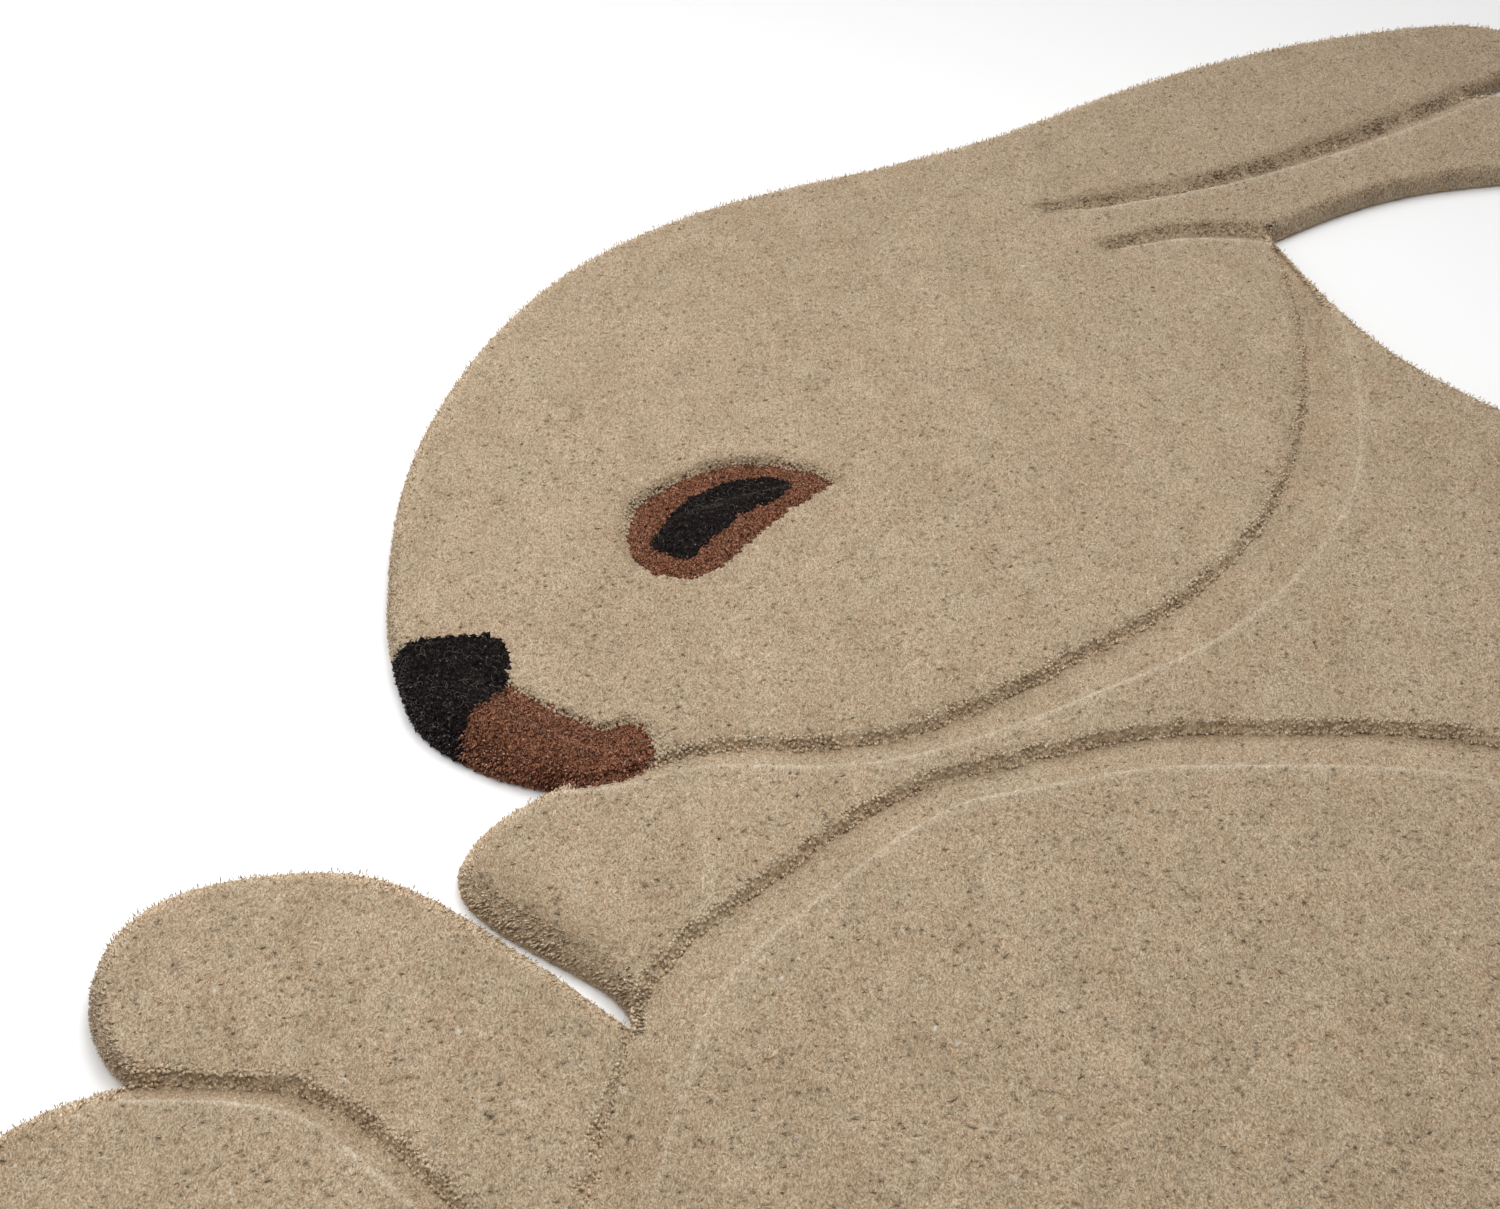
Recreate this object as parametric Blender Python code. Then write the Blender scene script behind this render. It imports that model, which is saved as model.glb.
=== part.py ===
"""A rabbit-shaped tufted rug: one slab of cut wool pile, lying flat on the floor.

The rabbit sits in profile, facing -X, with its ears towards +Y.  Where one form lies
in front of the next (head over chest, ear over ear), the pile is carved: a steep wall
under the front form, and a ramp that rises again on the form behind it.
Metres, +Z up, origin on the floor under the middle of the rug's box.
"""
import math
from collections import namedtuple

import bmesh
import bpy
import numpy as np
from mathutils import Vector
from mathutils.geometry import delaunay_2d_cdt

MM = 0.001

# Driving sizes, in mm
RUG_THICKNESS = 13.0      # foundation and pile together
PILE_BELLY = 4.5          # height at which the side of the pile is widest
FOOT_INSET = 1.5          # the foundation ends this far inside the pile's side
EDGE_ROUND = 8.0          # how far in the sheared edge reaches the full height
EDGE_RINGS = (0.0, 0.8, 3.0, 8.0)
WALL_WIDTH = 2.5          # plan width of a carved wall
RAMP_ROWS = (0.0, 0.4, 1.0)
OUTLINE_STEP = 14.0
GROOVE_STEP = 12.0
FIELD_STEP = 60.0
FIELD_CLEAR = 12.0        # the plain field's points keep this far from the worked rows
FAN_ANGLE = 40.0          # degrees between the inset points round a notch
MERGE = 0.25              # places closer than this become one
INSIDE = 1                # the triangulation keeps what the outline encloses

# The outline runs clockwise, so the rug lies on the right of the way along it.  A row
# gives a place (mm) and the heading there in degrees from +X; where the two headings
# differ, the outline has a notch.
Turn = namedtuple("Turn", "place x y arrive leave")
OUTLINE = [
    Turn("mouth notch", -56, -127, 50, 184),
    Turn("chin", -101, -122, 161, 161),
    Turn("nose underside", -141, -96, 124, 124),
    Turn("nose", -171, -38, 109, 109),
    Turn("brow", -200, 105, 90, 90),
    Turn("forehead", -157, 288, 59, 59),
    Turn("crown", -45, 400, 33, 33),
    Turn("ear base", 29, 455, 38, 38),
    Turn("ear front", 148, 574, 43, 43),
    Turn("ear curve", 285, 676, 28, 28),
    Turn("ear tip", 408, 686, -72, -72),
    Turn("ear fork", 366, 606, 230, 2),
    Turn("far ear tip", 462, 577, -96, -96),
    Turn("far ear back", 336, 482, 208, 208),
    Turn("nape", 238, 398, 228, -62),
    Turn("withers", 330, 266, -38, -38),
    Turn("back", 505, 178, -22, -22),
    Turn("rump", 668, 8, -66, -66),
    Turn("tail top", 700, -140, -86, -8),
    Turn("tail end", 774, -215, -95, -95),
    Turn("tail underside", 692, -290, 186, -97),
    Turn("heel side", 664, -400, -106, -106),
    Turn("heel", 585, -488, -162, -162),
    Turn("sole", 400, -505, 180, 180),
    Turn("toes underside", 130, -505, 180, 180),
    Turn("toes", 62, -458, 92, 92),
    Turn("foot notch", 36, -412, 96, 222),
    Turn("low paw underside", -105, -446, 180, 180),
    Turn("low paw", -224, -378, 96, 96),
    Turn("paw fork", -176, -312, 28, 158),
    Turn("high paw", -214, -258, 92, 92),
    Turn("high paw top", -137, -197, 11, 11),
    Turn("shin", -69, -210, -24, -24),
    Turn("chest fork", 6, -247, -29, 112),
    Turn("chest underside", -46, -215, 159, 159),
    Turn("chest", -87, -180, 89, 89),
]

# A carved line is a row for each place along it.  The wall stands on the left of the
# way along it, and the ramp, as wide as given, rises on the right.
Cut = namedtuple("Cut", "place x y heading ramp depth")
CARVED_LINES = {
    "jaw": [
        Cut("mouth notch", -56, -127, 6, 8, 4),
        Cut("mouth corner", -24, -113, 38, 8, 4),
        Cut("jaw", 22, -89, 11, 14, 5),
        Cut("cheek", 99, -58, 39, 17, 6),
        Cut("back of cheek", 184, 27, 46, 30, 6),
        Cut("back of head", 252, 160, 78, 34, 6),
        Cut("nape", 238, 398, 106, 14, 6),
    ],
    "body": [
        Cut("foot notch", 36, -412, 140, 20, 6),
        Cut("elbow", 10, -329, 96, 23, 6),
        Cut("chest fork", 6, -247, 92, 27, 6),
        Cut("breast", 44, -163, 53, 23, 6),
        Cut("shoulder", 117, -84, 27, 19, 6),
        Cut("back line", 213, -38, 14, 25, 6),
        Cut("flank", 350, -18, -6, 28, 6),
        Cut("haunch", 545, -130, -60, 26, 6),
        Cut("thigh", 588, -300, -98, 24, 6),
        Cut("hock", 500, -412, -158, 22, 6),
        Cut("foot", 260, -432, 180, 20, 6),
        Cut("foot notch", 36, -412, 150, 20, 6),
    ],
    "near ear": [
        Cut("start", 102, 400, -15, 4, 0),
        Cut("inner ear", 129, 405, 27, 8, 6),
        Cut("ear fork", 366, 606, 48, 14, 6),
    ],
    "far ear": [
        Cut("start", 142, 360, 32, 4, 0),
        Cut("ear root", 166, 378, 38, 10, 6),
        Cut("nape", 238, 398, 4, 16, 6),
    ],
    "paw": [
        Cut("paw fork", -176, -312, 12, 10, 6),
        Cut("knuckles", -84, -310, -28, 12, 6),
        Cut("elbow", 6, -366, -36, 10, 6),
    ],
    "tail": [
        Cut("tail top", 700, -140, -84, 14, 6),
        Cut("tail underside", 692, -290, -98, 14, 6),
    ],
    "eye": [
        Cut("lower lid", -62, 22, 128, 14, 0),
        Cut("inner corner", -73, 58, 88, 22, 3),
        Cut("lid", -52, 94, 46, 30, 4),
        Cut("lid top", -19, 112, 2, 30, 4),
        Cut("outer corner", 23, 98, -32, 6, 2),
    ],
    "lip": [
        Cut("start", -99, -76, -20, 12, 2),
        Cut("lip", -66, -88, -18, 14, 3),
        Cut("dip", -48, -93, 5, 14, 3),
        Cut("rise", -36, -87, 0, 12, 3),
        Cut("corner", -25, -95, -52, 10, 3),
        Cut("mouth corner", -20, -106, -88, 8, 3),
    ],
}


def curve_between(start, end, leave, arrive, step):
    """Points and headings on the rounded run from start to end, both ends included."""
    start, end = Vector(start), Vector(end)
    turn = math.radians((arrive - leave + 180.0) % 360.0 - 180.0)
    reach = (end - start).length / (3.0 * math.cos(turn / 4.0) ** 2)
    out = Vector((math.cos(math.radians(leave)), math.sin(math.radians(leave))))
    back = Vector((math.cos(math.radians(arrive)), math.sin(math.radians(arrive))))
    first, second = start + out * reach, end - back * reach
    count = max(3, math.ceil((first - start).length * 3.0 / step))
    run = []
    for i in range(count + 1):
        t = i / count
        s = 1.0 - t
        point = s**3 * start + 3 * s * s * t * first + 3 * s * t * t * second + t**3 * end
        way = s * s * (first - start) + 2 * s * t * (second - first) + t * t * (end - second)
        run.append((point, math.atan2(way.y, way.x)))
    return run


def beside(point, heading, distance):
    """The place that far to the right of the way along a line."""
    return point + Vector((math.sin(heading), -math.cos(heading))) * distance


def outline_ring(inset):
    """The outline moved inwards, with a fan of points round each notch."""
    ring = []
    for here, there in zip(OUTLINE, OUTLINE[1:] + OUTLINE[:1]):
        run = curve_between((here.x, here.y), (there.x, there.y), here.leave, there.arrive,
                            OUTLINE_STEP)
        ring += [beside(point, heading, inset) for point, heading in run[:-1]]
        opening = math.radians((there.leave - there.arrive) % 360.0)
        fan = round(math.degrees(opening) / FAN_ANGLE) if inset else 0
        for k in range(fan):
            heading = math.radians(there.arrive) + opening * k / fan
            ring.append(beside(Vector((there.x, there.y)), heading, inset))
    return ring


def carved_line(cuts):
    """Points, headings, ramp widths and depths along one carved line."""
    line = []
    for here, there in zip(cuts, cuts[1:]):
        run = curve_between((here.x, here.y), (there.x, there.y), here.heading,
                            there.heading, GROOVE_STEP)
        last = len(run) - 1
        for i, (point, heading) in enumerate(run):
            if i == last and there is not cuts[-1]:
                continue
            share = i / last
            ramp = here.ramp + (there.ramp - here.ramp) * share
            depth = here.depth + (there.depth - here.depth) * share
            line.append((point, heading, ramp, depth))
    return line


def nearest_on_line(places, line):
    """For each place: distance to the line, whether it is on the right, and where."""
    a, b = line[:-1], line[1:]
    along = b - a
    rel = places[:, None, :] - a[None]
    share = np.clip((rel * along).sum(2) / (along**2).sum(1), 0.0, 1.0)
    gap = rel - share[..., None] * along
    distance = np.hypot(gap[..., 0], gap[..., 1])
    pick = distance.argmin(1)
    rows = np.arange(len(places))
    cross = along[pick, 0] * rel[rows, pick, 1] - along[pick, 1] * rel[rows, pick, 0]
    return distance[rows, pick], cross <= 0.0, pick + share[rows, pick]


def edge_drop(distance):
    """How far the rounded edge of the pile lies under the full height."""
    share = np.clip(1.0 - distance / EDGE_ROUND, 0.0, 1.0)
    return (RUG_THICKNESS - PILE_BELLY) * (1.0 - np.sqrt(1.0 - share**2))


def pile_heights(places, outline, lines):
    """Height of the pile's top over each place, all in mm."""
    closed = np.vstack([outline, outline[:1]])
    drop = edge_drop(nearest_on_line(places, closed)[0])
    for line in lines:
        track = np.array([tuple(point) for point, *_ in line])
        ramp = np.array([row[2] for row in line])
        depth = np.array([row[3] for row in line])
        distance, right, where = nearest_on_line(places, track)
        index = np.arange(len(line))
        reach = np.where(right, np.interp(where, index, ramp), WALL_WIDTH)
        cut = np.interp(where, index, depth) * np.clip(1.0 - distance / reach, 0.0, 1.0)
        drop = np.maximum(drop, cut)
    return RUG_THICKNESS - drop


def inside(places, outline):
    """Whether each place lies inside the closed outline."""
    x, y = places[:, :1], places[:, 1:]
    ax, ay = outline[:, 0], outline[:, 1]
    bx, by = np.roll(ax, -1), np.roll(ay, -1)
    spans = (ay > y) != (by > y)
    slope = np.where(by == ay, 1.0, by - ay)
    return ((spans & (x < ax + (y - ay) * (bx - ax) / slope)).sum(1) % 2) == 1


def worked_rows(lines, outline):
    """Open rows of places beside the carved lines, cut off short of the outline."""
    closed = np.vstack([outline, outline[:1]])
    rows = []
    for line in lines:
        track = np.array([tuple(point) for point, *_ in line])
        offsets = [[-WALL_WIDTH] * len(line)]
        offsets += [[share * row[2] for row in line] for share in RAMP_ROWS]
        for offset in offsets:
            row = np.array([tuple(beside(point, heading, reach))
                            for (point, heading, *_), reach in zip(line, offset)])
            own = nearest_on_line(row, track)[0] > np.abs(offset) * 0.9 - 0.1
            keep = own & inside(row, outline) & (nearest_on_line(row, closed)[0] > 0.4)
            rows.append((row, keep))
    return rows


def field_places(worked, outline):
    """A wide grid of places on the plain field, clear of the worked rows."""
    low, high = outline.min(0), outline.max(0)
    across, along = np.meshgrid(np.arange(low[0], high[0], FIELD_STEP),
                                np.arange(low[1], high[1], FIELD_STEP))
    grid = np.column_stack([across.ravel(), along.ravel()])
    grid = grid[inside(grid, outline)]
    gaps = np.linalg.norm(grid[:, None, :] - worked[None], axis=2).min(1)
    return grid[gaps > FIELD_CLEAR]


def pile_surface():
    """Vertices and triangles of the pile's top, in mm, about the middle of the rug."""
    rings = [outline_ring(inset) for inset in EDGE_RINGS]
    outline = np.array([tuple(point) for point in rings[0]])
    lines = [carved_line(cuts) for cuts in CARVED_LINES.values()]
    places, edges = [], []
    for ring in rings:
        base = len(places)
        places += [tuple(point) for point in ring]
        edges += [(base + i, base + (i + 1) % len(ring)) for i in range(len(ring))]
    for row, keep in worked_rows(lines, outline):
        number = {}
        for i in np.flatnonzero(keep):
            number[i] = len(places)
            places.append(tuple(row[i]))
            if i - 1 in number:
                edges.append((number[i - 1], number[i]))
    places += [tuple(place) for place in field_places(np.array(places), outline)]
    found = delaunay_2d_cdt([Vector(p) for p in places], edges, [], INSIDE, MERGE)
    flat = np.array([tuple(v) for v in found[0]])
    middle = (outline.min(0) + outline.max(0)) / 2.0
    vertices = np.column_stack([flat - middle, pile_heights(flat, outline, lines)])
    return vertices, [list(face) for face in found[2]]


def close_slab(bm):
    """Side and flat underside below the pile's top."""
    rim = [edge for edge in bm.edges if edge.is_boundary]
    inward = {}
    for edge in rim:
        face = edge.link_faces[0]
        a, b = (vert.co.xy for vert in edge.verts)
        across = Vector((b.y - a.y, a.x - b.x)).normalized()
        if across.dot(face.calc_center_median().xy - (a + b) / 2.0) < 0.0:
            across = -across
        for vert in edge.verts:
            inward[vert] = inward.get(vert, Vector((0.0, 0.0))) + across
    made = bmesh.ops.extrude_edge_only(bm, edges=rim)["geom"]
    low = [item for item in made if isinstance(item, bmesh.types.BMVert)]
    above = {tuple(vert.co): step.normalized() for vert, step in inward.items()}
    for vert in low:
        step = above[tuple(vert.co)] * FOOT_INSET * MM
        vert.co = (vert.co.x + step.x, vert.co.y + step.y, 0.0)
    floor = [item for item in made if isinstance(item, bmesh.types.BMEdge)
             and item.is_boundary]
    bmesh.ops.contextual_create(bm, geom=floor)


def wool_material():
    material = bpy.data.materials.new("beige_wool")
    material.use_nodes = True
    shader = material.node_tree.nodes["Principled BSDF"]
    shader.inputs["Base Color"].default_value = (0.46, 0.35, 0.23, 1.0)
    shader.inputs["Roughness"].default_value = 0.95
    shader.inputs["Metallic"].default_value = 0.0
    return material


def make_rug():
    vertices, triangles = pile_surface()
    bm = bmesh.new()
    verts = [bm.verts.new(Vector(row) * MM) for row in vertices]
    for triangle in triangles:
        bm.faces.new([verts[i] for i in triangle])
    bmesh.ops.delete(bm, geom=[v for v in bm.verts if not v.link_faces], context="VERTS")
    close_slab(bm)
    bmesh.ops.triangulate(bm, faces=[face for face in bm.faces if len(face.verts) > 4])
    bmesh.ops.recalc_face_normals(bm, faces=bm.faces)
    mesh = bpy.data.meshes.new("tufted_rug")
    bm.to_mesh(mesh)
    bm.free()
    mesh.shade_smooth()
    mesh.set_sharp_from_angle(angle=math.radians(12.0))
    mesh.materials.append(wool_material())
    return bpy.data.objects.new("tufted_rug", mesh)


def main():
    for item in list(bpy.data.objects):
        bpy.data.objects.remove(item, do_unlink=True)
    rug = bpy.data.collections.new("rabbit_rug")
    bpy.context.scene.collection.children.link(rug)
    rug.objects.link(make_rug())


main()
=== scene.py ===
"""Looks of the rabbit-shaped rug: hand-tufted wool, sheared level and carved.

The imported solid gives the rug's box and place.  The pile is built here as a worked
surface of single yarn ends, with loose yarns on its sides, in its carved walls and over
its field.  The drawing's millimetres are the same as in the rug's construction.
"""
import math
from collections import namedtuple

import bpy
import numpy as np
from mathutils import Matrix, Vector, kdtree
from mathutils.geometry import delaunay_2d_cdt


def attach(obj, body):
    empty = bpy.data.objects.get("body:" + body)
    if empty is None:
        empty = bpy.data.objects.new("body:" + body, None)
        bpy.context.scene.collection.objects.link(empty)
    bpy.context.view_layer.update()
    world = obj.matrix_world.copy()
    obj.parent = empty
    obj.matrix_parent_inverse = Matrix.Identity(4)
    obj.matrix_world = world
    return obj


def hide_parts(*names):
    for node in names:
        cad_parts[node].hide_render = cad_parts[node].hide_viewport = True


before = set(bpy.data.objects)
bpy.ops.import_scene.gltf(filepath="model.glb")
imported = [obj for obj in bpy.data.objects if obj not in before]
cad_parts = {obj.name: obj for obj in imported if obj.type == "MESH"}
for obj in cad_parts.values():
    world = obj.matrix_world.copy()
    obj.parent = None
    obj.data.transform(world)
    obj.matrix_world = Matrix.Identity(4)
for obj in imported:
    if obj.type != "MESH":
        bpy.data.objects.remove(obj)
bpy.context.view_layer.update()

MM = 0.001
MIDDLE = np.array([275.0, 102.44714355])   # the drawing's middle, which is the origin

# The rug, in mm
RUG_THICKNESS = 13.0
BACKING_THICKNESS, BACKING_INSET = 1.4, 1.9
PILE_BELLY = 4.5          # height at which the side of the pile is widest
FOOT_INSET = 1.5
EDGE_ROUND = 8.0          # how far in the sheared edge reaches the full height
WALL_WIDTH = 2.4          # plan width of a carved wall
WIDE_WALLS = {"near ear": 7.0, "far ear": 5.5}
WALL_SHOULDER = 3.7       # the pile begins to sink this many widths behind a wall's foot
CARVING = 6.0             # depth of a full carving; shallower ones are shaded less
SEAM = 0.65               # yarn ends stand this far on both sides of a crest or a seam
FOOT_CLEAR = 3.4          # the even rows begin this far in front of a wall's foot
WALL_WOBBLE = ((1.3, 8.0, 9), (0.6, 3.2, 10))   # height, width and seed of soft waves
LINE_REACH = 44.0         # no carved line is felt further away than this

# Tones are steps of light or dark in the yarn, mostly painted light and shade, some the yarn's
# own: one step up is 18 % lighter.
TONE_STEP = 0.18
SOFT_SHADE = {            # how dark the pile is behind a wall, and how far back
    "near ear": (1.9, 12.5), "far ear": (1.9, 9.0), "jaw": (0.8, 7.5), "eye": (1.2, 7.0)}
WALL_TONE = {             # where the tufts of a wall are in more shade than elsewhere
    "near ear": -2.6, "far ear": -2.4, "eye": -1.2, "lip": -0.8}
MOUTH_TONE = -0.6         # the mouth's yarn is laid flat, and looks darker than the eye's
CREST_TONE = 0.7          # painted highlight on a ramp's crest, and painted shade just before it
WALL_LIFT = 4.5           # painted light on the pile between the tufts of a wall, which would look too dark
SIDE_LIGHT_TONE = {"pile": 1.9, "strands": 2.2}     # painted light on the side, where it faces +Y or straight sideways
SLANT_LIGHT_AND_SHADE = {"pile": -0.2, "strands": 1.1}   # painted shade on the pile and painted light on the strands, where the side is sheared to a slant
SLANT_SHADE = (0.9, 14.0, 6.0)                # how dark the pile is above it, where, how wide

# The yarn ends, in mm
YARN_STEP = 1.85          # three or four places this far apart share one yarn end
YARN_SHAKE = 0.8          # how far a place leaves the even rows
NAP = math.radians(12.0)  # the pile lies towards -Y, turned by this
NAP_STRETCH = 1.27        # yarn ends stand this much further apart along the nap
END_RISE = 0.44           # how far a yarn end stands out of the pile
GAP_DROP = 0.38           # how far the pile sinks between the ends
NAP_LEAN = 0.55           # how far the ends lean with the nap
PILE_HILLS = ((0.35, 23.0, 5), (0.22, 9.0, 6), (0.16, 4.2, 7))
NAP_DRIFT = (0.6, 46.0, 8)                # the lie of the pile drifts, in radians
RIM_INSETS = (0.0, 0.7, 1.8, 3.2, 4.8)    # rows of yarn ends in from the rim
SIDE_ROWS = ((2.7, 0.15), (1.1, 0.6), (0.05, FOOT_INSET))   # heights and insets below it
PALE_STRAYS, DARK_STRAYS = 420, 60        # single odd tufts all over the field

# The loose yarns, in mm: the strands of the rug's side, the tufts of the carved walls and
# the wisps of the field.  A ring is a share of a yarn's length and a share of its width.
STRAND_STEP, TUFT_STEP = 2.05, 2.3
STRAND_LENGTH, STRAND_WIDTH, STRAND_RINGS = (3.8, 5.8), (0.55, 0.9), ((0.66, 1.0),)
TUFT_LENGTH, TUFT_WIDTH, TUFT_RINGS = (2.4, 3.6), (0.95, 1.4), ((0.5, 0.85), (0.88, 1.0))
BRISTLE_LENGTH, BRISTLE_WIDTH = (0.3, 1.3), (0.2, 0.4)
WISP_WIDTH, WISP_RINGS, WISPS = (0.16, 0.34), ((0.62, 1.0),), 22000
TUFT_ROWS = (-0.5, 0.6, 1.7, 3.1, 4.8)    # behind a wall's foot; the first hangs out over it
WIDE_TUFT_ROWS = (-0.5, 0.6, 2.2, 3.8, 5.4, 7.0, 8.6)
MOUTH_COMB = math.radians(207.0)          # the mouth's yarn is combed towards the nose
FIBRE_HALF = 0.07                         # thicker than a real fibre, so that it shows

# The triangulation keeps what the outline encloses, and joins places this close
INSIDE, MERGE = 1, 0.2

# Places in mm, and the headings in degrees in which a line arrives there and leaves
Knot = namedtuple("Knot", "place x y arrive leave")


def knot(place, x, y, arrive, leave=None):
    return Knot(place, x, y, arrive, arrive if leave is None else leave)


# Clockwise from the mouth
OUTLINE = [
    knot("mouth notch", -56, -127, 43, 184),
    knot("chin", -101, -122, 161),
    knot("nose underside", -141, -96, 124),
    knot("nose", -171, -38, 109),
    knot("brow", -200, 105, 90),
    knot("forehead", -157, 288, 59),
    knot("crown", -45, 400, 33),
    knot("ear base", 29, 455, 38),
    knot("ear front", 148, 574, 43),
    knot("ear curve", 285, 676, 28),
    knot("ear tip", 408, 686, -72),
    knot("ear fork", 366, 606, 230, 2),
    knot("far ear tip", 462, 577, -96),
    knot("far ear back", 336, 482, 208),
    knot("nape", 238, 398, 228, -62),
    knot("withers", 330, 266, -38),
    knot("back", 505, 178, -22),
    knot("rump", 668, 8, -66),
    knot("tail top", 700, -140, -86, -8),
    knot("tail end", 774, -215, -95),
    knot("tail underside", 692, -290, 186, -97),
    knot("heel side", 664, -400, -106),
    knot("heel", 585, -488, -162),
    knot("sole", 400, -505, 180),
    knot("toes underside", 130, -505, 180),
    knot("toes", 62, -458, 92),
    knot("foot notch", 36, -412, 96, 222),
    knot("low paw underside", -105, -446, 180),
    knot("low paw", -224, -378, 96),
    knot("paw fork", -176, -312, 28, 158),
    knot("high paw", -214, -258, 92),
    knot("high paw top", -137, -196, 11),
    knot("shin", -69, -210, -24),
    knot("chest fork", 6, -247, -29, 112),
    knot("chest underside", -46, -215, 159),
    knot("chest", -88, -179, 90),
]

# The wall of a carved line stands on the left of the way along it, and the ramp rises on
# the right.
Cut = namedtuple("Cut", "place x y arrive leave ramp depth")


def cut(place, x, y, heading, ramp, depth):
    return Cut(place, x, y, heading, heading, ramp, depth)


CARVED_LINES = {
    "jaw": [
        cut("mouth notch", -56, -127, 6, 8, 4),
        cut("mouth corner", -24, -113, 38, 8, 4),
        cut("jaw", 22, -89, 11, 14, 5),
        cut("cheek", 99, -58, 39, 17, 6),
        cut("back of cheek", 184, 27, 46, 30, 6),
        cut("back of head", 252, 160, 78, 34, 6),
        cut("nape", 238, 398, 106, 14, 6),
    ],
    "body": [
        cut("foot notch", 36, -412, 140, 20, 6),
        cut("elbow", 10, -329, 96, 23, 6),
        cut("chest fork", 6, -247, 92, 27, 6),
        cut("breast", 44, -163, 53, 23, 6),
        cut("shoulder", 117, -84, 27, 19, 6),
        cut("back line", 213, -38, 14, 25, 6),
        cut("flank", 350, -18, -6, 28, 6),
        cut("haunch", 545, -130, -60, 26, 6),
        cut("thigh", 588, -300, -98, 24, 6),
        cut("hock", 500, -412, -158, 22, 6),
        cut("foot", 260, -432, 180, 20, 6),
        cut("foot notch", 36, -412, 150, 20, 6),
    ],
    "near ear": [
        cut("start", 104, 395, 28, 4, 6),
        cut("inner ear", 130, 408, 28, 8, 6),
        cut("ear fork", 366, 606, 48, 14, 6),
    ],
    "far ear": [
        cut("start", 144, 359, 34, 4, 6),
        cut("ear root", 166, 377, 38, 10, 6),
        cut("nape", 238, 398, 4, 16, 6),
    ],
    "paw": [
        cut("paw fork", -176, -312, 12, 10, 6),
        cut("knuckles", -84, -310, -28, 12, 6),
        cut("elbow", 6, -366, -36, 10, 6),
    ],
    "tail": [
        cut("tail top", 700, -140, -84, 14, 6),
        cut("tail underside", 692, -290, -98, 14, 6),
    ],
    "eye": [
        cut("lower lid", -62, 22, 128, 14, 0),
        cut("inner corner", -73, 58, 88, 22, 3),
        cut("lid", -52, 94, 46, 30, 4),
        cut("lid top", -19, 112, 2, 30, 4),
        cut("outer corner", 21, 103, -38, 6, 2),
    ],
    "lip": [
        cut("start", -99, -76, -20, 12, 2),
        cut("lip", -66, -88, -18, 14, 3),
        cut("dip", -48, -93, 5, 14, 3),
        cut("rise", -36, -87, 0, 12, 3),
        cut("corner", -25, -95, -52, 10, 3),
        cut("mouth corner", -20, -106, -88, 8, 3),
    ],
}

# Where the yarn changes colour.  Each field is a closed ring and lies on the right of the
# way round it.  It may run out past the rug's outline.
YARN_FIELDS = {
    "pupil": [
        knot("inner end", -58, 34, 130, 80),
        knot("upper side", -50, 69, 66),
        knot("upper side", -29, 94, 34),
        knot("outer end", -6, 100, -8),
        knot("end", 2, 92, -88, -100),
        knot("lower side", -14, 70, -130),
        knot("lower side", -30, 42, -122),
        knot("foot", -38, 26, -170),
    ],
    "eye": [
        knot("inner corner", -73, 58, 90),
        knot("lid", -52, 94, 46),
        knot("lid top", -19, 112, 2),
        knot("outer corner", 21, 104, -36, -86),
        knot("outer corner", 20, 95, -96, -128),
        knot("lower lid", 0, 65, -122),
        knot("lower lid", -19, 25, -118),
        knot("tear", -44, 11, 178),
    ],
    "nose": [
        knot("outside", -190, -82, 90, 20),
        knot("top left", -155, -65, 60),
        knot("top", -145, -55, 26),
        knot("top", -128, -49, 8),
        knot("top right", -109, -48, -14, -50),
        knot("side", -101, -60, -72),
        knot("lip", -98, -77, -100, -120),
        knot("seam", -108, -98, -95),
        knot("seam", -106, -118, -80),
        knot("outside", -104, -150, -90, 180),
    ],
    "mouth": [
        knot("under the nose", -112, -72, 90, 0),
        knot("nose", -98, -76, -20),
        knot("lip", -66, -88, -18),
        knot("dip", -48, -93, 5),
        knot("rise", -36, -87, 0),
        knot("corner", -25, -95, -52),
        knot("corner", -21, -106, -95),
        knot("corner", -25, -115, -120),
        knot("notch", -50, -131, 200),
        knot("outside", -112, -160, 180, 90),
    ],
}

# Where the edge is sheared to a wide slant: at the start and at the end of the run that
# leaves a place, how far in it reaches the full height, and how far it is a slant (1)
# rather than a round (0).
Slant = namedtuple("Slant", "start end")
SLANTS = {
    "mouth notch": Slant((8.0, 0.0), (11.0, 0.9)),
    "chin": Slant((11.0, 0.9), (9.0, 0.6)),
    "nose underside": Slant((9.0, 0.6), (8.0, 0.0)),
    "shin": Slant((8.0, 0.0), (9.0, 0.2)),
    "chest fork": Slant((9.0, 0.2), (12.0, 1.0)),
    "chest underside": Slant((12.0, 1.0), (11.0, 0.7)),
    "chest": Slant((11.0, 0.7), (8.0, 0.0)),
}

# Stray tufts that show in the field: a place and whether the tuft is pale or dark.
Stray = namedtuple("Stray", "x y pale")
STRAYS = [
    Stray(-66, 260, False), Stray(-175, 135, False), Stray(-14, -254, False),
    Stray(-77, -283, False), Stray(96, 325, True), Stray(59, -216, True),
    Stray(120, -228, True), Stray(132, -230, True), Stray(173, -255, True),
    Stray(9, -277, True),
]


# ---------------------------------------------------------------- lines of the drawing

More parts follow.
